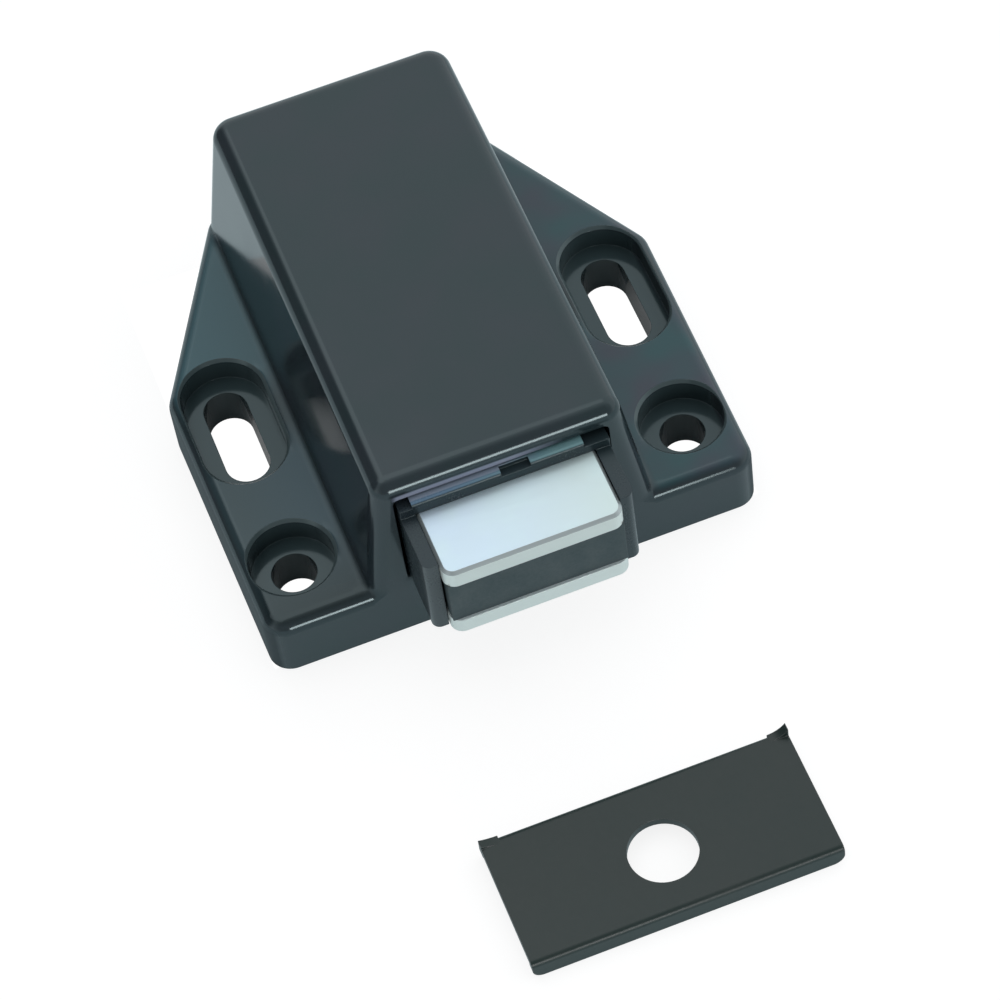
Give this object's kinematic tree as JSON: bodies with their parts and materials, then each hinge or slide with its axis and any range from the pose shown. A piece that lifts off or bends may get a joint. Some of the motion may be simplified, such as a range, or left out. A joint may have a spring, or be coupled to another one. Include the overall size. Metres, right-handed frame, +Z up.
{
  "type": "magnetic touch latch",
  "caption": "Push-to-open magnetic cabinet latch with a sprung magnet plunger, screw-on winged housing and a loose steel strike plate.",
  "frame": {"origin": "midway between the two front screw holes, on the mounting face", "axes": "+X across the width to the right seen from above with the nose towards the viewer, +Y to the back, away from the door, +Z up out of the mounting face"},
  "size_m": [0.0488, 0.0882, 0.0212],
  "materials": {
    "black_abs": "glossy moulded black with a faint cold tint",
    "black_pom": "satin moulded black",
    "zinc_steel": "bright blue-white zinc plate",
    "ferrite": "matt sintered dark grey",
    "spring_steel": "plain spring steel",
    "coated_steel": "dark grey-green coating"
  },
  "bodies": {
    "body": {"housing": "black_abs", "base_cover": "black_abs", "follower_leaf": "spring_steel", "spring_left": "spring_steel", "spring_right": "spring_steel"},
    "plunger": {"carriage": "black_pom", "upper_pole_plate": "zinc_steel", "lower_pole_plate": "zinc_steel", "magnet": "ferrite"},
    "follower": {"cam_follower": "spring_steel"},
    "strike": {"strike_plate": "coated_steel"}
  },
  "joints": [
    {"name": "plunger_slide", "type": "slide", "parent": "body", "child": "plunger", "axis": [0, 1, 0], "range_m": [0, 0.007], "stiffness_N_per_m": 280, "springref_m": -0.012, "deforming": ["spring_left", "spring_right"]},
    {"name": "follower_swing", "type": "hinge", "parent": "body", "child": "follower", "pos_m": [0, 0.0307, 0.00225], "axis": [0, 0, 1], "range_deg": [0, 12.64]},
    {"name": "strike_slide", "type": "slide", "parent": "body", "child": "strike", "axis": [0, 1, 0], "range_m": [0, 0.017]}
  ],
  "couplings": [
    {"joint": "follower_swing", "follows": "plunger_slide", "rad_per_m": 31.012}
  ]
}
